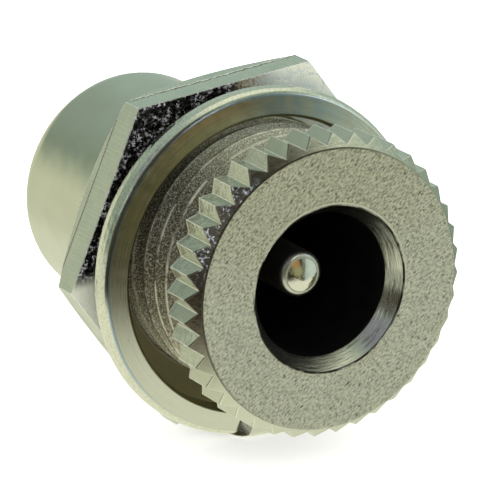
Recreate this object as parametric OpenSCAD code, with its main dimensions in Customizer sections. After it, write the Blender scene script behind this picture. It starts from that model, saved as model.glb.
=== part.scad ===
// Panel-mount barrel socket for low-voltage power plugs, with its lock washer and nut.
// Millimetres. The socket's axis runs along Y: plugs enter from -Y, the solder lugs point to +Y.
// The origin is on the axis, in the plane where the back of the head bears on the panel.
// Angles round the axis are seen from the front, from +X towards +Z.

/* [Head] */
// Length of the knurled head, from the front face to the panel
head_l = 2.15; // [1.6:0.05:4]
// How far the knurl's tooth tips stand out beyond the thread
head_ledge = 0.85; // [0.7:0.05:2]
// Number of teeth in the straight knurl
knurl_teeth = 40; // [24:1:60]
// Radial depth of the knurl's grooves
knurl_depth = 0.42; // [0.15:0.01:0.5]
// Angle of the first tooth
knurl_phase = 5.4; // [0:0.1:9]
// Radial width of the chamfer between the flat front face and the tooth tips
chamfer_w = 0.5; // [0.3:0.05:1]
// Length of the chamfer from the front face to the tooth tips
chamfer_l = 0.6; // [0.3:0.05:1]
// Thickness of the lip that holds the liner behind the front face
lip_t = 0.83; // [0.5:0.01:1.2]
// Diameter of the countersink at the front face
mouth_d = 7.5; // [7.2:0.1:9]

/* [Thread and barrel] */
// Outside diameter of the thread
thread_d = 12; // [11.4:0.1:13]
// Pitch of the thread
pitch = 1; // [0.75:0.05:1.25]
// Length of the threaded neck behind the panel plane
thread_l = 7.2; // [7.2:0.1:9]
// Radial play with which the nut's thread passes over the plain barrel
barrel_play = 0.06; // [0.02:0.01:0.15]
// Length of the metal shell behind the panel plane
shell_l = 17.05; // [16:0.05:20]
// Radius of the rounded rear edge
rim_r = 1.25; // [0.5:0.05:1.3]
// Wall of the barrel
shell_wall = 0.7; // [0.5:0.05:0.9]
// How far the rim is rolled in over the base
rim_roll = 0.7; // [0.4:0.05:0.8]

/* [Nut and lock washer] */
// Width of the nut across its flats
nut_af = 15; // [14:0.1:17]
// Thickness of the nut
nut_t = 2; // [1.5:0.1:3]
// Gap from the panel plane to the nut's front face
nut_gap = 5.5; // [5:0.1:6]
// Angle that the nut has been turned to
nut_turn = 6.7; // [0:0.1:60]
// Radial width of the lock washer's section
washer_w = 1.25; // [1:0.05:2]
// Radial play of the lock washer round the thread
washer_play = 0.75; // [0.65:0.05:1]
// Thickness of the lock washer at its outer edge
washer_t = 1.1; // [0.8:0.05:1.3]
// Extra thickness at the lock washer's inner edge
washer_dish = 0.15; // [0:0.05:0.3]
// Gap from the panel plane to the middle of the lock washer's front face
washer_gap = 3.35; // [3:0.05:3.6]
// How far one end of the split washer springs ahead of the other
washer_rise = 0.45; // [0:0.05:0.6]
// How far the loose washer hangs below the axis
washer_drop = 0.38; // [0:0.02:0.5]
// How far the loose washer sits to the left of the axis
washer_shift = 0.1; // [0:0.02:0.3]
// Angle of the split in the washer
split_angle = 262; // [0:1:360]
// Width of the split, measured round the washer
split_w = 0.45; // [0.3:0.05:1.5]

/* [Plug contacts] */
// Bore that a 5.5 mm plug slides into
bore_d = 6.5; // [6:0.05:6.6]
// Diameter of the centre pin
pin_d = 2.1; // [1.9:0.1:2.5]
// How far the pin's tip lies behind the front face
pin_recess = 2.25; // [0.3:0.05:3]
// Radius of the pin's shallow domed end
pin_dome_r = 2.2; // [1.5:0.1:5]
// Radius that rounds the edge of the pin's end
pin_edge_r = 0.3; // [0.1:0.05:0.5]
// Depth of the bore behind the panel plane
bore_l = 8.2; // [7.5:0.1:9]
// Thickness of the contact metal
contact_t = 0.3; // [0.2:0.05:0.4]
// Distance from the axis to the crown of the sleeve spring
crown_r = 2.6; // [2.5:0.05:2.7]
// Width of the sleeve spring
spring_w = 2.2; // [1.6:0.1:2.6]
// Angle of the sleeve spring round the axis
spring_angle = 240; // [0:1:360]

/* [Solder lugs] */
// Width of a solder lug
lug_w = 2; // [1.8:0.1:2.2]
// Length of a solder lug behind the rim
lug_l = 4.4; // [3.5:0.1:6]
// Diameter of the eye in a solder lug
eye_d = 1.1; // [0.8:0.1:1.2]

/* [Hidden] */
$fn = 96;

// Clearances
slip = 0.05;          // between pieces that are pushed together
thread_play = 0.05;   // radial, between the thread and the nut
flank_play = 0.04;    // axial, between the flanks of the thread and the nut
gap = 0.1;            // round the contacts in their channels
cut = 1;              // how far a cutting tool runs past the face it cuts

// Thread form: 60 degrees, flat crests and roots
flank = tan(30);
crest_w = pitch / 8;
thread_root_r = thread_d / 2 - 0.6134 * pitch;
nut_minor_r = thread_d / 2 - 0.54 * pitch;
crest_first = 0.7 * pitch;
crest_n = floor((thread_l - crest_first) / pitch - 0.2) + 1;

// Head
tip_r = thread_d / 2 + head_ledge;
face_r = tip_r - chamfer_w;
knurl_root_r = tip_r - knurl_depth;
front = -head_l;
edge_break = 0.06;

// Barrel
barrel_r = nut_minor_r - barrel_play;

// Nut and lock washer
nut_corner_r = nut_af / 2 / cos(30);
nut_bevel_r = nut_af / 2 - 0.15;
washer_bore_r = thread_d / 2 + washer_play;

// Rear end of the shell, rolled in over the base
core_r = barrel_r - shell_wall;
seat_r = core_r - rim_roll;
lip_end = shell_l - 0.6;
roll_start = lip_end - rim_roll;

// Liner and base
liner_r = core_r - slip;
liner_front = front + lip_t + slip;
channel_r = core_r - 0.35;
base_front = bore_l + slip;
base_end = lip_end - slip;
base_seat_r = seat_r - 2 * slip;

// Centre pin
pin_r = pin_d / 2;
pin_tip = front + pin_recess;
pin_dome_drop = pin_dome_r - sqrt(pow(pin_dome_r, 2) - pow(pin_r - pin_edge_r, 2));
pin_side = pin_tip + pin_dome_drop + pin_edge_r;
collar_r = pin_r + 0.75;
collar_t = 0.8;
tail_r = pin_r - 0.3;
rivet_r = tail_r + 0.35;
rivet_t = 0.35;

// Solder lugs
lug_end = shell_l + lug_l;
eye_pos = lug_end - lug_w / 2;
lug_edge = 0.4;
lug_r = base_seat_r - lug_edge - contact_t;
pin_lug_r = 2.4;
pin_lug_ring_r = tail_r + 0.8;

// Sleeve spring, from its free tip to its root in the base
spring_tip = 2;
spring_tip_r = channel_r - gap - contact_t - slip - contact_t;
spring_tip_w = spring_w * 0.55;
spring_steps = 24;

// Switch contact: a blade behind the spring's tip, a band in a groove round the base and a lug
// further round, on a strip that steps inward ahead of the base's rear face
switch_turn = 90;
switch_depth = 2;
switch_angle = spring_angle + switch_turn;
blade_r = channel_r - gap - contact_t;
blade_front = spring_tip - 0.3;
blade_span = 18;
band_l = 1.2;
band_front = base_front + 0.4;
switch_step = lip_end - switch_depth;
groove_r = blade_r * cos(blade_span / 2) - gap;

// Points of a thread's section from the first crest to the last: axial half width hw at radius r
function ridge(i, hw_tip, tip, hw_base, base_r) = let (c = crest_first + i * pitch)
    [[base_r, c - hw_base], [tip, c - hw_tip], [tip, c + hw_tip], [base_r, c + hw_base]];
function ridges(n, first, hw_tip, tip, hw_base, base_r) =
    [for (i = [first : first + n - 1]) each ridge(i, hw_tip, tip, hw_base, base_r)];

// Outline of a strip of thickness t along a centre line
function unit(v) = v / norm(v);
function normal_at(p, i) = let (n = len(p), d = unit(p[min(i + 1, n - 1)] - p[max(i - 1, 0)])) [d.y, -d.x];
function strip(p, t) = concat(
    [for (i = [0 : len(p) - 1]) p[i] + normal_at(p, i) * t / 2],
    [for (i = [len(p) - 1 : -1 : 0]) p[i] - normal_at(p, i) * t / 2]);

// Stands the socket's axis, drawn along Z, on the Y axis
module on_axis() rotate([-90, 0, 0]) children();
// Turns a piece drawn along X to an angle round the axis
module at(angle) rotate([0, 0, -angle]) children();
// Extrudes a section drawn as radius against length, centred on its radial plane
module plate(w) rotate([90, 0, 0]) linear_extrude(height = w, center = true) children();

// Outline of the knurl, looking along the axis
module knurl_outline() {
    polygon([for (i = [0 : 2 * knurl_teeth - 1])
        let (a = -knurl_phase - i * 180 / knurl_teeth, r = i % 2 == 0 ? tip_r : knurl_root_r)
        [r * cos(a), r * sin(a)]]);
}

// Knurled head with its front chamfer
module head() {
    intersection() {
        translate([0, 0, front]) linear_extrude(height = head_l) knurl_outline();
        rotate_extrude() polygon([[0, front], [face_r - edge_break, front],
            [face_r, front + edge_break], [tip_r + edge_break, front + chamfer_l],
            [tip_r + edge_break, 0], [0, 0]]);
    }
}

// Threaded neck and plain barrel with a rounded rear edge
module neck_and_barrel() {
    half = crest_w / 2;
    foot = half + (thread_d / 2 - thread_root_r) * flank;
    rotate_extrude() {
        polygon(concat([[0, -edge_break], [thread_root_r, -edge_break]],
            ridges(crest_n, 0, half, thread_d / 2, foot, thread_root_r),
            [[thread_root_r, thread_l], [0, thread_l]]));
        square([barrel_r, shell_l - rim_r]);
        square([barrel_r - rim_r, shell_l]);
        translate([barrel_r - rim_r, shell_l - rim_r]) intersection() {
            circle(rim_r);
            square(rim_r);
        }
    }
}

// Turned and plated shell: head, thread and barrel in one piece
module shell() {
    color([0.72, 0.73, 0.62]) on_axis() difference() {
        union() {
            head();
            neck_and_barrel();
        }
        rotate_extrude() polygon([[0, front - cut], [mouth_d / 2, front - cut], [mouth_d / 2, front],
            [bore_d / 2, front + lip_t - edge_break], [bore_d / 2, front + lip_t],
            [core_r, front + lip_t], [core_r, roll_start], [seat_r, lip_end],
            [seat_r, shell_l + cut], [0, shell_l + cut]]);
    }
}

// Thin hexagon nut, bevelled on its rear face only
module hex_nut() {
    half = crest_w / 2 + flank_play;
    wide_r = thread_d / 2 + thread_play;
    foot = half + (wide_r - nut_minor_r) * flank;
    bore_bevel = wide_r - nut_minor_r;
    first = floor((nut_gap - crest_first) / pitch) - 1;
    count = ceil(nut_t / pitch) + 3;
    end = nut_gap + nut_t;
    color([0.66, 0.7, 0.62]) on_axis() difference() {
        intersection() {
            at(nut_turn) translate([0, 0, nut_gap]) cylinder(h = nut_t, r = nut_corner_r, $fn = 6);
            rotate_extrude() polygon([[0, nut_gap], [nut_corner_r + cut, nut_gap],
                [nut_corner_r + cut, end - (nut_corner_r + cut - nut_bevel_r) * flank],
                [nut_bevel_r, end], [0, end]]);
        }
        rotate_extrude() {
            polygon(concat([[0, nut_gap - pitch * 2], [nut_minor_r, nut_gap - pitch * 2]],
                ridges(count, first, half, wide_r, foot, nut_minor_r),
                [[nut_minor_r, end + pitch * 2], [0, end + pitch * 2]]));
            polygon([[0, nut_gap - cut], [wide_r + cut, nut_gap - cut], [wide_r, nut_gap],
                [nut_minor_r, nut_gap + bore_bevel], [0, nut_gap + bore_bevel]]);
            polygon([[0, end + cut], [wide_r + cut, end + cut], [wide_r, end],
                [nut_minor_r, end - bore_bevel], [0, end - bore_bevel]]);
        }
    }
}

// Split spring washer: a section with a rounded outer edge, carried round a helix, with slanted ends
module lock_washer() {
    steps = 84;
    bevel = 0.14;
    edge_points = 7;
    bulge = 0.24;
    ri = washer_bore_r;
    ro = ri + washer_w;
    gap_deg = split_w / ro * 180 / PI;
    slant = 0.8 * 180 / PI / ro;
    half = washer_t / 2;
    section = concat(
        [[ri, bevel - washer_dish], [ri + bevel, -washer_dish]],
        [for (k = [0 : edge_points - 1]) let (e = 180 * k / (edge_points - 1))
            [ro - bulge + bulge * sin(e), half - half * cos(e)]],
        [[ri + bevel, washer_t], [ri, washer_t - bevel]]);
    n = len(section);
    sweep = 360 - gap_deg;
    // Local angles run backwards, so the end that springs forward is the first one seen past the split
    points = [for (i = [0 : steps], p = section)
        let (a = -split_angle - gap_deg / 2 - sweep * (1 - i / steps) + slant * p.y,
            z = washer_gap + washer_rise * (0.5 - i / steps) + p.y)
        [p.x * cos(a), p.x * sin(a), z]];
    sides = [for (i = [0 : steps - 1], j = [0 : n - 1])
        [i * n + j, (i + 1) * n + j, (i + 1) * n + (j + 1) % n, i * n + (j + 1) % n]];
    ends = [[for (j = [0 : n - 1]) j], [for (j = [n - 1 : -1 : 0]) steps * n + j]];
    color([0.62, 0.62, 0.5]) on_axis() translate([-washer_shift, washer_drop, 0])
        polyhedron(points, concat(sides, ends), convexity = 4);
}

// Black liner of the bore, with channels for the spring and the blade behind it
module liner() {
    length = bore_l - liner_front;
    color([0.03, 0.03, 0.03]) on_axis() difference() {
        translate([0, 0, liner_front]) cylinder(h = length, r = liner_r);
        translate([0, 0, liner_front - cut]) cylinder(h = length + 2 * cut, r = bore_d / 2);
        at(spring_angle) intersection() {
            translate([0, -spring_w / 2 - gap, blade_front - gap])
                cube([core_r, spring_w + 2 * gap, bore_l]);
            translate([0, 0, blade_front - gap]) cylinder(h = bore_l, r = channel_r);
        }
    }
}

// Black base that closes the barrel and carries the pin and the contacts
module base() {
    length = base_end - base_front;
    step = liner_r - base_seat_r;
    notch_w = 2 * (blade_r + contact_t) * sin(blade_span / 2) + 2 * gap;
    color([0.05, 0.05, 0.05]) on_axis() difference() {
        rotate_extrude() polygon([[0, base_front], [liner_r, base_front],
            [liner_r, band_front - gap], [groove_r, band_front - gap],
            [groove_r, band_front + band_l + gap], [liner_r, band_front + band_l + gap],
            [liner_r, base_end - step], [base_seat_r, base_end], [0, base_end]]);
        // Hole for the pin's tail and seat for its collar
        translate([0, 0, base_front - cut]) cylinder(h = length + 2 * cut, r = tail_r + slip);
        translate([0, 0, base_front - cut]) cylinder(h = cut + collar_t + slip, r = collar_r + slip);
        // Slots for the two strips that end in lugs
        strip_slot(spring_angle, base_front - cut);
        strip_slot(switch_angle, switch_step);
        // Notches that bring the blade to the groove and the switch strip away from it
        at(spring_angle) plate(notch_w) translate([groove_r, base_front - cut])
            square([core_r, band_front + cut - base_front]);
        at(switch_angle) plate(notch_w) translate([groove_r, band_front])
            square([core_r, switch_step - band_front]);
        at(switch_angle) plate(lug_w + 2 * gap) translate([lug_r - gap, switch_step - gap])
            square([core_r, contact_t + 2 * gap]);
    }
}

// Slot through the base for a flat strip, from a length to the rear
module strip_slot(angle, from) {
    at(angle) plate(lug_w + 2 * gap) translate([lug_r - gap, from])
        square([contact_t + 2 * gap, base_end + cut - from]);
}

// Part of a ring, centred on an angle, from one length to another
module ring(r_in, r_out, from, to, angle, span) {
    at(angle + span / 2) rotate_extrude(angle = span)
        translate([r_in, from]) square([r_out - r_in, to - from]);
}

// Turned centre pin: shallow domed end, collar and riveted tail
module centre_pin() {
    lug_face = base_end + contact_t + slip;
    color([0.8, 0.8, 0.78]) on_axis() rotate_extrude() {
        // The dome meets the rounded edge, which meets the side
        intersection() {
            translate([0, pin_tip + pin_dome_r]) circle(pin_dome_r);
            translate([0, pin_tip]) square([pin_r - pin_edge_r, pin_dome_r]);
        }
        intersection() {
            translate([pin_r - pin_edge_r, pin_side]) circle(pin_edge_r);
            translate([0, pin_tip]) square([pin_r, pin_side - pin_tip]);
        }
        translate([0, pin_side - slip]) square([pin_r - pin_edge_r, slip]);
        translate([0, pin_side]) square([pin_r, base_front + collar_t - pin_side]);
        translate([0, base_front]) square([collar_r, collar_t]);
        translate([0, base_front]) square([tail_r, lug_face + rivet_t - base_front]);
        translate([0, lug_face]) polygon([[0, 0], [rivet_r, 0], [rivet_r - rivet_t / 2, rivet_t],
            [0, rivet_t]]);
    }
}

// Flat end of a solder lug with its eye, from the base's rear face or further forward
module lug(r, from) {
    difference() {
        union() {
            translate([r, -lug_w / 2, from])
                cube([contact_t, lug_w, eye_pos - from]);
            translate([r, 0, eye_pos]) rotate([0, 90, 0]) cylinder(h = contact_t, r = lug_w / 2);
        }
        translate([r - cut, 0, eye_pos]) rotate([0, 90, 0]) cylinder(h = contact_t + 2 * cut, r = eye_d / 2);
    }
}

// Lug of the pin: a ring held by the rivet, with an arm bent back to the rear
module pin_lug() {
    seat = base_end + slip / 2;
    color([0.75, 0.75, 0.72]) on_axis() at(spring_angle + 180) difference() {
        union() {
            translate([0, 0, seat]) cylinder(h = contact_t, r = pin_lug_ring_r);
            translate([0, -lug_w / 2, seat]) cube([pin_lug_r + contact_t, lug_w, contact_t]);
            lug(pin_lug_r, seat);
        }
        translate([0, 0, seat - cut]) cylinder(h = contact_t + 2 * cut, r = tail_r + slip / 2);
    }
}

// Sleeve spring: a bowed leaf with its root and lug in one strip
module sleeve_spring() {
    root = base_front;
    root_r = lug_r + contact_t / 2;
    tip_c = spring_tip_r + contact_t / 2;
    crown = crown_r + contact_t / 2;
    bow = (tip_c + root_r) / 2 - crown;
    // Centre line from the tip, u = 0, to the root, u = 1
    leaf = [for (i = [0 : spring_steps])
        let (u = i / spring_steps, straight = tip_c + (root_r - tip_c) * u)
        [straight - bow * pow(sin(180 * u), 2), spring_tip + (root - spring_tip) * u]];
    color([0.78, 0.68, 0.42]) on_axis() at(spring_angle) {
        intersection() {
            plate(spring_w) polygon(strip(concat(leaf, [[root_r, root + slip]]), contact_t));
            leaf_plan();
        }
        lug(lug_r, root);
    }
}

// Plan of the leaf, seen from the axis: widest at the crown, as wide as the lug at the root
module leaf_plan() {
    crown_at = (spring_tip + base_front) / 2;
    rotate([0, 90, 0]) linear_extrude(height = core_r) polygon([
        [cut - spring_tip, -spring_tip_w / 2], [-crown_at, -spring_w / 2],
        [-base_front, -lug_w / 2], [-base_front - cut, -lug_w / 2],
        [-base_front - cut, lug_w / 2], [-base_front, lug_w / 2],
        [-crown_at, spring_w / 2], [cut - spring_tip, spring_tip_w / 2]]);
}

// Switch contact: the spring rests on its blade until a plug lifts it away
module switch_contact() {
    outer = blade_r + contact_t;
    color([0.76, 0.7, 0.5]) on_axis() {
        ring(blade_r, outer, blade_front, band_front + band_l, spring_angle, blade_span);
        ring(blade_r, outer, band_front, band_front + band_l, spring_angle + switch_turn / 2,
            switch_turn + blade_span);
        ring(blade_r, outer, band_front, switch_step + contact_t, switch_angle, blade_span);
        at(switch_angle) {
            translate([lug_r, -lug_w / 2, switch_step])
                cube([blade_r + contact_t / 2 - lug_r, lug_w, contact_t]);
            lug(lug_r, switch_step);
        }
    }
}

shell();
hex_nut();
lock_washer();
liner();
base();
centre_pin();
pin_lug();
sleeve_spring();
switch_contact();
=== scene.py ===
"""Looks for a panel-mount barrel socket: plated metals, black mouldings, floor, light and camera.

Lengths in the shaders are in millimetres in the part's own frame: the socket's axis runs along Y,
its front face looks towards -Y and y = 0 is the back of the knurled head.
"""

import math

import bpy
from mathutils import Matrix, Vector


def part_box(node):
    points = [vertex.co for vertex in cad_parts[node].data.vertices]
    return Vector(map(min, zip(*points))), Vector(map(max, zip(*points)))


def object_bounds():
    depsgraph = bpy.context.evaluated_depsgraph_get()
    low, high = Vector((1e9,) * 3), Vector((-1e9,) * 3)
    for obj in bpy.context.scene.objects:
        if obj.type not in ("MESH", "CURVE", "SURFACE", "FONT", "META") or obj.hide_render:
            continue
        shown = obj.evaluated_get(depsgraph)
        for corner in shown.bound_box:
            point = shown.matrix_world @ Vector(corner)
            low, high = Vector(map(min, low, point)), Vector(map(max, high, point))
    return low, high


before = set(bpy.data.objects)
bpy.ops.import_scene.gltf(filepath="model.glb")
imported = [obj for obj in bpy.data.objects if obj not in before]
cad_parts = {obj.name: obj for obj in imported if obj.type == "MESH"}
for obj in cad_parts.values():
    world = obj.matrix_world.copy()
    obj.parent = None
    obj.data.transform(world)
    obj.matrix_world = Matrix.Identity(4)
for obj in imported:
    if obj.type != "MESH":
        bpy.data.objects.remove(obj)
cad_box = [list(corner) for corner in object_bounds()]

MM = 0.001
DARK_OLIVE = (0.16, 0.15, 0.10)
BROWN = (0.06, 0.038, 0.020)

# Millimetres, as in the part's source: radius of the flat front face, of the countersink's mouth, of the
# thread's crests and of the middle of the nut's flats, and how fast the head's chamfer widens along Y
FACE_R = 6.35
MOUTH_R = 3.75
CREST_R = 6.0
NUT_FLAT_R = 7.5
CHAMFER_SLOPE = 0.83


def span(node, axis):
    """Lowest and highest coordinate of a CAD node along an axis, in millimetres."""
    low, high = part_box(node)
    return low[axis] / MM, high[axis] / MM


FRONT, SHELL_END = span("shell", 1)
NUT_FRONT, NUT_END = span("hex_nut", 1)
WASHER_LEFT, WASHER_RIGHT = span("lock_washer", 0)
WASHER_LOW, WASHER_HIGH = span("lock_washer", 2)
WASHER_R = (WASHER_HIGH - WASHER_LOW) / 2


class Graph:
    """The node tree of one material, with a short call for each kind of node used here."""

    def __init__(self, name, metallic=0.0, centre=(0.0, 0.0), **constants):
        self.material = bpy.data.materials.new(name)
        self.material.use_nodes = True
        self.tree = self.material.node_tree
        self.shader = self.tree.nodes["Principled BSDF"]
        self.shader.inputs["Metallic"].default_value = metallic
        for socket, value in constants.items():
            self.shader.inputs[socket].default_value = value
        self._place(centre)

    def _place(self, centre):
        """Object coordinates in millimetres, and the radius and angle round an axis along Y."""
        coords = self.tree.nodes.new("ShaderNodeTexCoord")
        scaled = self.vector("SCALE", coords.outputs["Object"], scale=1 / MM)
        self.position = self.vector("SUBTRACT", scaled, (centre[0], 0.0, centre[1]))
        split = self.tree.nodes.new("ShaderNodeSeparateXYZ")
        self.tree.links.new(self.position, split.inputs[0])
        self.x, self.y, self.z = split.outputs
        squares = self.math("ADD", self.math("MULTIPLY", self.x, self.x),
                            self.math("MULTIPLY", self.z, self.z))
        self.r = self.math("SQRT", squares)
        self.angle = self.math("ARCTAN2", self.z, self.x)

    def put(self, value, socket):
        """Links a node's output to a socket, or sets the socket to a constant."""
        if isinstance(value, bpy.types.NodeSocket):
            self.tree.links.new(value, socket)
        elif isinstance(value, (tuple, list)) and len(value) == 3 and socket.type == "RGBA":
            socket.default_value = (*value, 1.0)
        else:
            socket.default_value = value

    def math(self, operation, *values):
        node = self.tree.nodes.new("ShaderNodeMath")
        node.operation = operation
        for value, socket in zip(values, node.inputs):
            self.put(value, socket)
        return node.outputs[0]

    def vector(self, operation, *values, scale=None):
        node = self.tree.nodes.new("ShaderNodeVectorMath")
        node.operation = operation
        for value, socket in zip(values, node.inputs):
            self.put(value, socket)
        if scale is not None:
            self.put(scale, node.inputs["Scale"])
        return node.outputs["Value" if operation == "DOT_PRODUCT" else "Vector"]

    def combine(self, x, y, z):
        node = self.tree.nodes.new("ShaderNodeCombineXYZ")
        for value, socket in zip((x, y, z), node.inputs):
            self.put(value, socket)
        return node.outputs[0]

    def step(self, value, low, high, start=0.0, end=1.0):
        """Goes smoothly from start to end as value goes from low to high."""
        node = self.tree.nodes.new("ShaderNodeMapRange")
        node.interpolation_type = "SMOOTHSTEP"
        for given, socket in zip((value, low, high, start, end), node.inputs):
            self.put(given, socket)
        return node.outputs[0]

    def noise(self, scale, detail=3.0, roughness=0.55, distortion=0.0, at=None):
        node = self.tree.nodes.new("ShaderNodeTexNoise")
        self.put(self.position if at is None else at, node.inputs["Vector"])
        node.inputs["Scale"].default_value = scale
        node.inputs["Detail"].default_value = detail
        node.inputs["Roughness"].default_value = roughness
        node.inputs["Distortion"].default_value = distortion
        return node.outputs["Fac"]

    def stretched(self, sizes, turn=(0.0, 0.0, 0.0)):
        """Coordinates turned, then divided by a size along each axis, for streaked patterns."""
        node = self.tree.nodes.new("ShaderNodeMapping")
        node.vector_type = "TEXTURE"
        self.put(self.position, node.inputs["Vector"])
        node.inputs["Rotation"].default_value = turn
        node.inputs["Scale"].default_value = sizes
        return node.outputs[0]

    def round_axis(self, along, across, length):
        """Coordinates for turning marks: round the axis without a seam, and by radius and length."""
        reach = self.math("MULTIPLY", self.r, along)
        depth = self.math("ADD", self.math("DIVIDE", self.r, across), self.math("DIVIDE", self.y, length))
        return self.combine(self.math("DIVIDE", self.x, reach), self.math("DIVIDE", self.z, reach), depth)

    def mix(self, factor, a, b):
        """Color a where factor is 0, color b where it is 1. A Mix node has other sockets for each type."""
        node = self.tree.nodes.new("ShaderNodeMix")
        node.data_type = "RGBA"
        for value, index in ((factor, 0), (a, 6), (b, 7)):
            self.put(value, node.inputs[index])
        return node.outputs[2]

    def blend(self, factor, a, b):
        """The same for numbers."""
        node = self.tree.nodes.new("ShaderNodeMix")
        for value, index in ((factor, 0), (a, 2), (b, 3)):
            self.put(value, node.inputs[index])
        return node.outputs[0]

    def bump(self, height, depth, after=None):
        """Relief of the given depth in millimetres."""
        node = self.tree.nodes.new("ShaderNodeBump")
        node.inputs["Strength"].default_value = 1.0
        node.inputs["Distance"].default_value = depth * MM
        self.put(height, node.inputs["Height"])
        if after is not None:
            self.put(after, node.inputs["Normal"])
        return node.outputs[0]

    def line(self, value, at, width):
        """1 where value is within width of the line, 0 beyond twice that."""
        return self.step(self.math("ABSOLUTE", self.math("SUBTRACT", value, at)), 2 * width, width)

    def rounded(self, width):
        """Normal of the surface with its sharp edges rounded to a width in millimetres."""
        bevel = self.tree.nodes.new("ShaderNodeBevel")
        bevel.samples = 4
        bevel.inputs["Radius"].default_value = width * MM
        return bevel.outputs[0]

    def edges(self, width):
        """1 on sharp edges, 0 on faces: where the rounded normal leaves the true one."""
        geometry = self.tree.nodes.new("ShaderNodeNewGeometry")
        same = self.vector("DOT_PRODUCT", self.rounded(width), geometry.outputs["Normal"])
        return self.step(same, 0.995, 0.95)

    def turned(self, normal):
        """The normal without a small part that points round the axis, so a turned face has no facets."""
        tangent = self.vector("NORMALIZE", self.combine(self.math("MULTIPLY", self.z, -1.0), 0.0, self.x))
        part = self.vector("DOT_PRODUCT", normal, tangent)
        facet = self.step(self.math("ABSOLUTE", part), 0.10, 0.06)
        excess = self.vector("SCALE", tangent, scale=self.math("MULTIPLY", part, facet))
        return self.vector("NORMALIZE", self.vector("SUBTRACT", normal, excess))

    def toward(self, angle, low, high):
        """1 towards a direction round the axis, 0 away from it; low and high are cosines of the angle."""
        off = self.math("COSINE", self.math("SUBTRACT", self.angle, math.radians(angle)))
        return self.step(off, low, high)

    def both(self, *masks):
        """The product of several masks."""
        product = masks[0]
        for mask in masks[1:]:
            product = self.math("MULTIPLY", product, mask)
        return product

    def finish(self, color, roughness, normal, metallic=None):
        """Links the shader's inputs and returns the material."""
        self.put(color, self.shader.inputs["Base Color"])
        if metallic is not None:
            self.put(metallic, self.shader.inputs["Metallic"])
        self.put(roughness, self.shader.inputs["Roughness"])
        self.put(normal, self.shader.inputs["Normal"])
        return self.material


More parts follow.
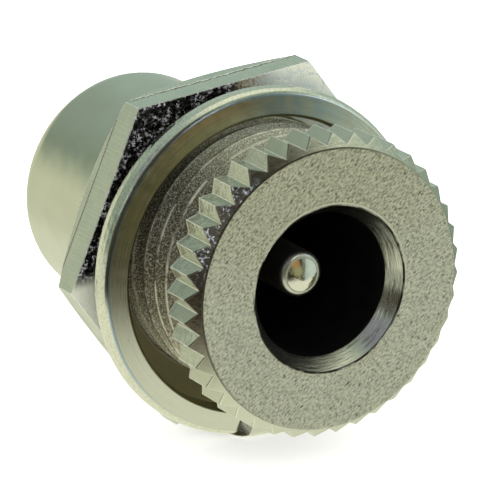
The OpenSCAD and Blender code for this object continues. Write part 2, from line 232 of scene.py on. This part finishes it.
def shell_nickel():
    """Blasted front face, satin knurl, grainy thread and polished barrel on one plated body."""
    g = Graph("shell_nickel", metallic=1.0)
    # Where each kind of surface is
    face = g.step(g.y, FRONT + 0.05, FRONT + 0.01)
    head = g.step(g.y, 0.1, -0.02)
    skin = g.math("SUBTRACT", head, face)
    cone = g.both(g.step(g.r, MOUTH_R + 0.2, MOUTH_R), skin)
    knurl = g.math("SUBTRACT", skin, cone)
    widening = g.math("MULTIPLY", g.math("SUBTRACT", g.y, FRONT), CHAMFER_SLOPE)
    chamfer = g.both(g.line(g.r, g.math("ADD", widening, FACE_R), 0.05), knurl)
    thread = g.both(g.step(g.y, -0.1, 0.1), g.step(g.y, NUT_END, NUT_END - 0.3))

    # Front face: short slanting wrinkles, soft waves, and narrow dark pits along the same slant
    slant = (0, math.radians(-38), 0)
    wrinkled = g.noise(1.0, detail=3, roughness=0.65, at=g.stretched((0.17, 1.0, 0.06), slant))
    wrinkles = g.step(wrinkled, 0.30, 0.58)
    waves = g.noise(1.6, detail=2)
    pitted = g.noise(1.0, detail=2, roughness=0.6, at=g.stretched((0.30, 1.0, 0.10), slant))
    pits = g.step(pitted, 0.64, 0.68)
    # Thread: coarse plating with painted highlights in patches along the crests, fainter from the fourth
    # one on
    grain = g.noise(17.0, detail=3, roughness=0.7)
    patchy = g.step(g.noise(0.9, detail=3), 0.38, 0.55)
    near_head = g.step(g.y, 2.6, 3.2, 1.0, 0.4)
    crest = g.both(thread, g.step(g.r, CREST_R - 0.07, CREST_R - 0.02), near_head, patchy)
    # Knurl: dents, lumps and tool scratches; countersink: streaks; everywhere: turning marks and a cloud
    dents = g.noise(2.2, detail=3)
    lumps = g.noise(5.0, detail=4, roughness=0.75)
    scratches = g.noise(1.0, detail=3, at=g.stretched((0.06, 1.1, 0.06), turn=(0, 0, math.radians(14))))
    streaks = g.noise(1.0, detail=4, roughness=0.65, at=g.round_axis(0.5, 0.05, 0.05))
    turning = g.noise(1.0, detail=3, at=g.round_axis(2.5, 0.6, 0.03))
    cloud = g.noise(0.35, detail=2)

    color = g.mix(g.step(cloud, 0.3, 0.7), (0.68, 0.71, 0.60), (0.63, 0.66, 0.54))
    # Front face, darker towards the top, with painted shade in the hollows of the wrinkles and in the
    # narrow pits, and painted highlights on the raised wrinkles
    shaded_wrinkles = g.mix(wrinkles, (0.36, 0.36, 0.24), (0.97, 0.98, 0.83))
    shaded_wrinkles = g.mix(g.step(waves, 0.35, 0.65, 0.0, 0.2), shaded_wrinkles, (0.74, 0.75, 0.61))
    shaded_wrinkles_top = g.mix(wrinkles, (0.28, 0.27, 0.15), (0.88, 0.88, 0.70))
    color = g.mix(face, color, g.mix(g.toward(95, -0.2, 1.0), shaded_wrinkles, shaded_wrinkles_top))
    color = g.mix(g.both(face, pits, g.step(dents, 0.3, 0.6)), color, BROWN)
    # Thread, darker on the left as painted shade
    left = g.toward(165, 0.55, 0.95)
    hollows = g.mix(left, (0.44, 0.42, 0.31), (0.13, 0.11, 0.07))
    grains = g.mix(left, (1.0, 1.0, 0.88), (0.80, 0.79, 0.68))
    color = g.mix(thread, color, g.mix(g.step(grain, 0.47, 0.64), hollows, grains))
    # Painted highlights along the crests
    color = g.mix(crest, color, (1.0, 0.98, 0.84))
    # Knurl: painted highlights along the edges, and at the upper left a chamfer in brown painted shade with
    # bluish glints
    ridge_highlights = g.both(knurl, g.edges(0.06), g.step(scratches, 0.25, 0.45))
    color = g.mix(ridge_highlights, color, (0.95, 0.93, 0.78))
    color = g.mix(g.both(chamfer, g.toward(150, 0.35, 0.85), 0.9), color, BROWN)
    glints = g.both(chamfer, g.toward(146, 0.90, 0.97), g.step(lumps, 0.54, 0.60))
    color = g.mix(glints, color, (0.90, 0.92, 1.0))
    # Countersink, with darker streaks
    color = g.mix(cone, color, (0.76, 0.78, 0.67))
    color = g.mix(g.both(cone, g.step(streaks, 0.52, 0.66, 0.0, 0.6)), color, DARK_OLIVE)
    # Lines round the face: a brown one at its edge, painted shade that is strongest at the upper left, and
    # at the countersink's mouth a pale one, a painted highlight towards the upper right, with a brown one
    # in patches inside it
    uneven = g.math("ADD", FACE_R - 0.05, g.math("MULTIPLY", lumps, 0.06))
    rim_line = g.both(g.line(g.r, uneven, 0.05), g.toward(140, -0.2, 0.9))
    mouth_line = g.both(g.line(g.r, MOUTH_R, 0.03), patchy)
    pale_line = g.both(g.line(g.r, MOUTH_R + 0.09, 0.03), g.toward(70, -0.3, 0.8))
    color = g.mix(g.both(face, pale_line), color, (0.95, 0.95, 0.80))
    color = g.mix(g.both(face, g.math("MAXIMUM", rim_line, mouth_line)), color, BROWN)

    rough = g.blend(face, g.blend(head, 0.12, 0.27), 0.40)
    rough = g.blend(chamfer, rough, 0.12)
    rough = g.blend(thread, rough, g.step(grain, 0.3, 0.7, 0.25, 0.45))
    rough = g.blend(cone, rough, 0.22)
    relief = g.bump(g.both(wrinkles, face), 0.07, after=g.turned(g.rounded(0.05)))
    relief = g.bump(g.both(waves, face), 0.05, after=relief)
    relief = g.bump(g.both(scratches, knurl), 0.008, after=relief)
    relief = g.bump(g.both(dents, knurl), 0.05, after=relief)
    relief = g.bump(g.both(lumps, chamfer), 0.03, after=relief)
    relief = g.bump(g.both(streaks, cone), 0.012, after=relief)
    relief = g.bump(g.both(grain, thread), 0.035, after=relief)
    relief = g.bump(turning, 0.0008, after=relief)
    relief = g.bump(cloud, 0.06, after=relief)
    metallic = g.math("SUBTRACT", 1.0, g.math("MULTIPLY", ridge_highlights, 0.5))
    return g.finish(color, rough, relief, metallic)


def nut_nickel():
    """Satin flats with scratches and a scored line, and a front face in black, brown, pale and blue, partly
    painted light and shade.
    """
    g = Graph("nut_nickel", metallic=1.0)
    front = g.step(g.y, NUT_FRONT + 0.06, NUT_FRONT + 0.01)
    flats = g.both(g.math("SUBTRACT", 1.0, front), g.step(g.r, NUT_FLAT_R - 0.2, NUT_FLAT_R - 0.05))
    scratches = g.noise(1.0, detail=3, at=g.stretched((0.10, 1.6, 0.10)))
    marks = g.noise(1.0, detail=3, at=g.stretched((1.2, 0.12, 1.2)))
    blotches = g.noise(0.8, detail=3)
    pitting = g.noise(8.0, detail=3, roughness=0.65)
    # Front face: at the upper left black painted shade with white flecks as painted glints, elsewhere pale
    # as a painted reflection, with veins
    black = g.both(front, g.toward(138, 0.66, 0.74))
    pale = g.math("SUBTRACT", front, black)
    clumps = g.step(g.noise(2.4, detail=2), 0.42, 0.58, 0.15, 1.0)
    painted_glints = g.both(g.step(g.noise(9.0, detail=4, roughness=0.8), 0.49, 0.58), clumps)
    painted_shade_low = g.both(front, g.step(g.r, NUT_FLAT_R + 0.2, NUT_FLAT_R - 0.2), g.step(g.z, 0.0, -2.0))
    veins = g.line(g.noise(0.8, detail=4, roughness=0.6, distortion=1.2), 0.5, 0.012)
    stain = g.both(g.step(g.r, NUT_FLAT_R + 0.8, NUT_FLAT_R), g.step(blotches, 0.35, 0.6))
    # The line scored along the flats wanders more on the flat that faces up; its ends are in radians
    top = g.both(g.step(g.angle, 1.10, 1.20), g.step(g.angle, 2.22, 2.18))
    wander = g.math("SUBTRACT", g.noise(3.0, detail=4, roughness=0.7), 0.5)
    ragged = g.both(wander, g.blend(top, 0.04, 0.50))
    score_at = g.math("ADD", g.blend(top, NUT_FRONT + 1.45, NUT_FRONT + 1.18), ragged)
    score = g.both(g.line(g.y, score_at, 0.03), flats)
    lip = g.both(g.line(g.y, g.math("ADD", score_at, 0.10), 0.035), flats)
    edges = g.edges(0.05)

    color = g.mix(g.step(blotches, 0.35, 0.7), (0.66, 0.71, 0.60), (0.60, 0.66, 0.56))
    color = g.mix(g.both(flats, g.step(marks, 0.55, 0.7, 0.0, 0.4)), color, (0.80, 0.84, 0.74))
    # Front face: pale as a painted reflection, with blue veins above, brown beside the black, and olive
    # painted shade low down by the thread
    color = g.mix(pale, color, (0.94, 0.96, 0.82))
    blue = g.both(pale, g.step(g.z, 1.0, 3.0), g.math("MAXIMUM", veins, stain), 0.45)
    color = g.mix(blue, color, (0.36, 0.50, 0.58))
    brown_band = g.both(front, g.toward(138, 0.45, 0.70), g.step(g.z, 2.0, 4.0))
    color = g.mix(brown_band, color, g.mix(g.step(pitting, 0.4, 0.6), (0.16, 0.11, 0.06), (0.50, 0.46, 0.33)))
    color = g.mix(painted_shade_low, color, (0.20, 0.18, 0.08))
    # The black painted shade at the upper left, with painted glints
    color = g.mix(black, color, g.mix(painted_glints, (0.02, 0.018, 0.016), (0.50, 0.50, 0.52)))
    # Flats: the scored line darkened with painted shade, its raised lip and the edges pale with painted
    # highlights
    color = g.mix(g.both(lip, g.blend(top, 0.5, 0.7)), color, (0.90, 0.90, 0.80))
    color = g.mix(g.both(score, g.blend(top, 0.6, 0.9)), color, DARK_OLIVE)
    color = g.mix(g.math("MULTIPLY", edges, 0.8), color, (0.98, 0.98, 0.92))
    rough = g.blend(pale, g.step(scratches, 0.3, 0.7, 0.24, 0.36), 0.5)
    relief = g.bump(scratches, 0.006, after=g.rounded(0.07))
    relief = g.bump(g.both(pitting, front), 0.03, after=relief)
    relief = g.bump(g.math("SUBTRACT", lip, score), 0.05, after=relief)
    # The painted glints, the edges' painted highlights, the pale face and the upper lip reflect less like
    # bare metal
    dull = g.math("MAXIMUM", g.both(black, painted_glints), g.both(g.math("MAXIMUM", edges, pale), 0.5))
    dull = g.math("MAXIMUM", dull, g.both(lip, top, 0.4))
    return g.finish(color, rough, relief, g.math("SUBTRACT", 1.0, dull))


def washer_nickel():
    """Brushed ring; painted reflections, slate on top and olive at the upper left; olive painted shade in
    the bore; pale rim.
    """
    centre = ((WASHER_LEFT + WASHER_RIGHT) / 2, (WASHER_LOW + WASHER_HIGH) / 2)
    g = Graph("washer_nickel", metallic=1.0, centre=centre)
    bore_r = WASHER_R - 1.16
    bore = g.step(g.r, bore_r + 0.08, bore_r)
    rim_r = WASHER_R - 0.30
    rim = g.step(g.r, rim_r, rim_r + 0.10)
    rim_line = g.both(g.line(g.r, rim_r + 0.04, 0.04), g.toward(150, 0.0, 0.7), 0.9)
    brushed = g.noise(1.0, detail=4, roughness=0.65, at=g.round_axis(0.5, 0.04, 1.0))
    cloud = g.noise(0.45, detail=2)
    tarnish = g.noise(1.4, detail=3, roughness=0.6)
    specks = g.step(g.noise(4.0, detail=3, roughness=0.7), 0.67, 0.74)
    grain = g.noise(9.0, detail=3)
    color = g.mix(g.step(cloud, 0.35, 0.65), (0.64, 0.66, 0.54), (0.58, 0.62, 0.55))
    # Painted reflections: slate on top and olive at the upper left; tarnish and brushing over both
    color = g.mix(g.toward(92, 0.70, 1.0), color, (0.26, 0.34, 0.36))
    color = g.mix(g.toward(150, 0.3, 1.0), color, (0.74, 0.70, 0.42))
    color = g.mix(g.step(tarnish, 0.42, 0.7, 0.0, 0.45), color, (0.52, 0.46, 0.27))
    color = g.mix(g.step(brushed, 0.4, 0.7, 0.0, 0.5), color, (0.34, 0.31, 0.18))
    # Pale at the lower left as a painted reflection, with dark specks
    color = g.mix(g.toward(-130, 0.2, 0.9), color, (0.70, 0.72, 0.63))
    color = g.mix(g.both(specks, g.toward(-110, -0.2, 0.6), 0.6), color, DARK_OLIVE)
    # Rim with a bluish line beside it, a painted reflection at the upper left, and the dark bore in painted
    # shade
    color = g.mix(rim, color, g.mix(g.step(grain, 0.35, 0.65), (0.72, 0.74, 0.62), (0.84, 0.86, 0.74)))
    color = g.mix(rim_line, color, (0.38, 0.50, 0.62))
    color = g.mix(g.math("MULTIPLY", bore, 0.9), color, (0.22, 0.20, 0.09))
    rough = g.blend(rim, g.step(brushed, 0.3, 0.7, 0.15, 0.26), 0.10)
    return g.finish(color, rough, g.bump(brushed, 0.004, after=g.turned(g.rounded(0.08))))


def black_plastic(name, roughness):
    """Moulded black plastic with a fine satin grain."""
    g = Graph(name, metallic=0.0, **{"Specular IOR Level": 0.15})
    grain = g.noise(9.0, detail=3)
    cloud = g.noise(0.8, detail=2)
    color = g.mix(g.step(cloud, 0.3, 0.7), (0.002, 0.002, 0.002), (0.004, 0.004, 0.004))
    rough = g.step(grain, 0.3, 0.7, roughness, roughness + 0.12)
    return g.finish(color, rough, g.bump(grain, 0.004, after=g.rounded(0.05)))


def pin_nickel():
    """The pin: turned, polished and plated, satin round its edge, its dome flattened a little by relief."""
    g = Graph("pin_nickel", metallic=1.0)
    turning = g.noise(1.0, detail=3, at=g.round_axis(3.0, 0.25, 0.04))
    dents = g.noise(4.0, detail=3)
    cloud = g.noise(1.2, detail=2)
    color = g.mix(g.step(cloud, 0.3, 0.7), (0.84, 0.86, 0.78), (0.78, 0.79, 0.69))
    rounded_edge = g.step(g.r, 0.74, 0.82, 0.0, 0.25)
    rough = g.math("ADD", g.step(turning, 0.3, 0.7, 0.04, 0.09), rounded_edge)
    relief = g.bump(g.math("MULTIPLY", g.r, g.r), 0.07)
    relief = g.bump(turning, 0.0008, after=relief)
    return g.finish(color, rough, g.bump(dents, 0.006, after=relief))


def rolled_strip(name, light, dark, tinned):
    """Stamped contact metal: rolling streaks along Y, and solder tin behind the rim."""
    g = Graph(name, metallic=1.0)
    streaks = g.noise(1.0, detail=3, at=g.stretched((0.09, 2.0, 0.09)))
    cloud = g.noise(1.1, detail=3)
    color = g.mix(g.step(cloud, 0.35, 0.65), light, dark)
    tin = g.math("MULTIPLY", g.step(g.y, SHELL_END - 1.5, SHELL_END + 0.5), tinned)
    color = g.mix(tin, color, (0.70, 0.71, 0.68))
    relief = g.bump(streaks, 0.004, after=g.rounded(0.04))
    return g.finish(color, g.step(streaks, 0.3, 0.7, 0.24, 0.42), relief)


def dress():
    """Gives each CAD node its material."""
    looks = {
        "shell": shell_nickel(),
        "hex_nut": nut_nickel(),
        "lock_washer": washer_nickel(),
        "liner": black_plastic("liner_black", 0.42),
        "base": black_plastic("base_black", 0.50),
        "centre_pin": pin_nickel(),
        "pin_lug": rolled_strip("lug_tin", (0.70, 0.69, 0.64), (0.60, 0.60, 0.56), 0.6),
        "sleeve_spring": rolled_strip("spring_bronze", (0.34, 0.25, 0.16), (0.26, 0.18, 0.11), 0.85),
        "switch_contact": rolled_strip("contact_brass", (0.72, 0.62, 0.36), (0.62, 0.52, 0.28), 0.85),
    }
    for name, material in looks.items():
        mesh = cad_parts[name].data
        if not mesh.materials:
            mesh.materials.append(material)
        for index in range(len(mesh.materials)):
            mesh.materials[index] = material


def floor():
    """Plain pale floor at the height of the object's lowest point, six metres square."""
    low = cad_box[0][2]
    mesh = bpy.data.meshes.new("floor")
    reach = 3.0
    corners = [(-reach, -reach, low), (reach, -reach, low), (reach, reach, low), (-reach, reach, low)]
    mesh.from_pydata(corners, [], [(0, 1, 2, 3)])
    plane = bpy.data.objects.new("floor", mesh)
    bpy.context.collection.objects.link(plane)
    material = bpy.data.materials.new("floor_white")
    material.use_nodes = True
    shader = material.node_tree.nodes["Principled BSDF"]
    shader.inputs["Base Color"].default_value = (0.95, 0.95, 0.94, 1.0)
    shader.inputs["Roughness"].default_value = 0.9
    shader.inputs["Emission Color"].default_value = (1.0, 1.0, 1.0, 1.0)
    shader.inputs["Emission Strength"].default_value = 0.5
    mesh.materials.append(material)
    plane.visible_glossy = False


class Sky:
    """World light: plain white, except for reflections, which show a soft tent of panels and lamps."""

    def __init__(self):
        world = bpy.data.worlds.new("tent")
        world.use_nodes = True
        bpy.context.scene.world = world
        self.tree = world.node_tree
        self.tree.nodes.clear()
        coords = self.tree.nodes.new("ShaderNodeTexCoord")
        self.direction = coords.outputs["Generated"]

    def spot(self, centre, inner, outer):
        """1 inside a cone about a direction, 0 outside it; angles in degrees."""
        dot = self.tree.nodes.new("ShaderNodeVectorMath")
        dot.operation = "DOT_PRODUCT"
        self.tree.links.new(self.direction, dot.inputs[0])
        dot.inputs[1].default_value = Vector(centre).normalized()
        node = self.tree.nodes.new("ShaderNodeMapRange")
        node.interpolation_type = "SMOOTHSTEP"
        self.tree.links.new(dot.outputs["Value"], node.inputs["Value"])
        node.inputs["From Min"].default_value = math.cos(math.radians(outer))
        node.inputs["From Max"].default_value = math.cos(math.radians(inner))
        return node.outputs[0]

    def over(self, below, mask, color):
        """The color below, with another color laid over it where mask is 1; sockets as in Graph.mix."""
        node = self.tree.nodes.new("ShaderNodeMix")
        node.data_type = "RGBA"
        self.tree.links.new(mask, node.inputs[0])
        if isinstance(below, tuple):
            node.inputs[6].default_value = (*below, 1.0)
        else:
            self.tree.links.new(below, node.inputs[6])
        node.inputs[7].default_value = (*color, 1.0)
        return node.outputs[2]

    def finish(self, color):
        """Shows color to reflected rays and plain white to all others."""
        tent = self.tree.nodes.new("ShaderNodeBackground")
        self.tree.links.new(color, tent.inputs["Color"])
        white = self.tree.nodes.new("ShaderNodeBackground")
        white.inputs["Color"].default_value = (1, 1, 1, 1)
        white.inputs["Strength"].default_value = 1.3
        path = self.tree.nodes.new("ShaderNodeLightPath")
        mix = self.tree.nodes.new("ShaderNodeMixShader")
        self.tree.links.new(path.outputs["Is Glossy Ray"], mix.inputs[0])
        self.tree.links.new(white.outputs[0], mix.inputs[1])
        self.tree.links.new(tent.outputs[0], mix.inputs[2])
        out = self.tree.nodes.new("ShaderNodeOutputWorld")
        self.tree.links.new(mix.outputs[0], out.inputs[0])


def sky():
    """Pale green tent over a cream table, with the dark room behind the camera and a few soft lamps."""
    green = (0.27, 0.33, 0.27)
    # Direction (x right, y to the rear, z up), inner and outer angle, color; later ones cover earlier ones
    spots = [
        ((0.1, 0.4, 0.9), 15, 60, (0.37, 0.44, 0.40)),  # top of the tent
        ((0.60, 0.75, 0.30), 15, 38, (0.41, 0.50, 0.45)),  # its wall behind the part, right
        ((0.45, 0.1, 0.9), 20, 42, (0.85, 0.87, 0.73)),  # warm panel in the top, right
        ((0.85, -0.45, 0.0), 20, 40, (0.56, 0.64, 0.57)),  # wall on the right
        ((-0.95, 0.0, -0.35), 14, 28, (0.68, 0.71, 0.60)),  # table's edge on the left
        ((-0.62, -0.15, 0.77), 12, 26, (0.20, 0.20, 0.26)),  # gap in the top, left
        ((-0.35, -0.90, -0.05), 47, 57, (0.050, 0.044, 0.028)),  # dark room in front
        ((-0.86, -0.42, -0.25), 12, 20, (0.025, 0.015, 0.007)),  # dark edge of the room, low left
        ((-0.97, -0.15, 0.22), 10, 20, (0.035, 0.022, 0.015)),  # dark edge of the room, left
        ((0.33, -0.93, -0.17), 4, 11, (0.30, 0.29, 0.15)),  # olive glow in the room, low
        ((-0.73, -0.56, 0.39), 7, 14, (1.8, 1.95, 2.0)),  # lamp, front left
        ((-0.50, -0.52, 0.69), 3, 6, (2.4, 2.7, 3.2)),  # lamp, high front left
        ((0.20, -0.90, 0.38), 5, 9, (2.2, 2.2, 2.1)),  # lamp, front
        ((0.76, -0.60, 0.28), 8, 14, (1.1, 1.3, 1.6)),  # lamp, front right
        ((0.30, -0.95, 0.02), 4, 7, (0.40, 0.22, 0.08)),  # orange glow in the room
        ((-0.2, 0.75, -0.63), 40, 60, (0.74, 0.74, 0.58)),  # table behind the part
        ((0, 0, -1), 62, 72, (0.84, 0.84, 0.68)),  # table below
    ]
    tent = Sky()
    color = green
    for centre, inner, outer, tone in spots:
        color = tent.over(color, tent.spot(centre, inner, outer), tone)
    tent.finish(color)


def camera():
    """Long lens in front of the part, from its left and above, without roll."""
    azimuth = math.radians(-29.69)
    elevation = math.radians(17.48)
    distance = 0.18969
    target = Vector((-0.00275, 0.0, 0.00163))
    data = bpy.data.cameras.new("camera")
    data.sensor_width = 36.0  # millimetres, like the focal length
    data.lens = 316.8
    data.clip_start = 0.001
    viewer = bpy.data.objects.new("camera", data)
    bpy.context.collection.objects.link(viewer)
    level = math.cos(elevation)
    back = Vector((math.sin(azimuth) * level, -math.cos(azimuth) * level, math.sin(elevation)))
    viewer.location = target + back * distance
    viewer.rotation_euler = (-back).to_track_quat("-Z", "Y").to_euler()
    bpy.context.scene.camera = viewer


dress()
floor()
sky()
camera()
bpy.context.scene.view_settings.view_transform = "Standard"
